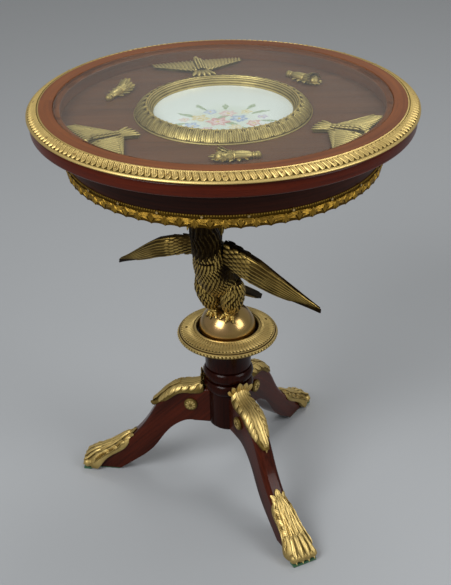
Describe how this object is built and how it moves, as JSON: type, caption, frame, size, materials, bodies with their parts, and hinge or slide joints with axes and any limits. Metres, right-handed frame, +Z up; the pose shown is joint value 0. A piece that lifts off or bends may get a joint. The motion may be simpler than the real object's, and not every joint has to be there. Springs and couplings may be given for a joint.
{
  "type": "display side table",
  "caption": "Round occasional table with a glass-covered display recess, porcelain plaque and gilt mounts, carried by an eagle on a globe over a turned column and tripod base.",
  "frame": {"origin": "on the floor, under the axis of the column", "axes": "+Z up, -Y towards the front as pictured, +X to the right"},
  "size_m": [0.6099, 0.61, 0.74],
  "materials": {
    "mahogany_top": "satin polish",
    "mahogany_dark": "high gloss polish",
    "display_wood": "satin polish",
    "gilt_bronze": "aged gilding",
    "dark_bronze": "dark patina",
    "globe_bronze": "polished",
    "pane": "clear float glass",
    "porcelain": "glazed, painted",
    "plain_wood": "unfinished",
    "iron": "black",
    "screw_steel": "plain",
    "pin_brass": "plain",
    "felt": "green felt"
  },
  "bodies": {
    "table": {"top_ring": "mahogany_top", "edge_moulding": "mahogany_top", "drum_apron": "mahogany_dark", "dish": "mahogany_dark", "column": "mahogany_dark", "leg_front": "mahogany_dark", "leg_back": "mahogany_dark", "leg_left": "mahogany_dark", "display_floor": "display_wood", "top_gilt_band": "gilt_bronze", "drum_gilt_border": "gilt_bronze", "plaque_frame": "gilt_bronze", "eagle_mount_1": "gilt_bronze", "eagle_mount_2": "gilt_bronze", "eagle_mount_3": "gilt_bronze", "torch_mount_1": "gilt_bronze", "torch_mount_2": "gilt_bronze", "torch_mount_3": "gilt_bronze", "dish_bead": "gilt_bronze", "dish_collar": "gilt_bronze", "knee_mount_front": "gilt_bronze", "knee_mount_back": "gilt_bronze", "knee_mount_left": "gilt_bronze", "paw_foot_front": "gilt_bronze", "paw_foot_back": "gilt_bronze", "paw_foot_left": "gilt_bronze", "rosettes": "gilt_bronze", "eagle_body": "dark_bronze", "eagle_wing_left": "dark_bronze", "eagle_wing_right": "dark_bronze", "eagle_tail": "dark_bronze", "support_stem": "dark_bronze", "globe": "globe_bronze", "porcelain_plaque": "porcelain", "bearer_long": "plain_wood", "bearer_cross": "plain_wood", "glue_blocks": "plain_wood", "leg_dowels": "plain_wood", "mounting_plate": "iron", "spider_brace": "iron", "tie_rod": "iron", "rod_washer": "iron", "rod_nut": "iron", "plaque_frame_screws": "screw_steel", "bearer_screws": "screw_steel", "plate_screws": "screw_steel", "flange_screws": "screw_steel", "wing_screws": "screw_steel", "spider_screws": "screw_steel", "band_pins": "pin_brass", "border_pins": "pin_brass", "mount_pins": "pin_brass", "felt_pads": "felt"},
    "glass": {"glass_top": "pane"}
  },
  "joints": [
    {"name": "glass_lift", "type": "slide", "parent": "table", "child": "glass", "axis": [0, 0, 1], "range_m": [0, 0.12]}
  ]
}
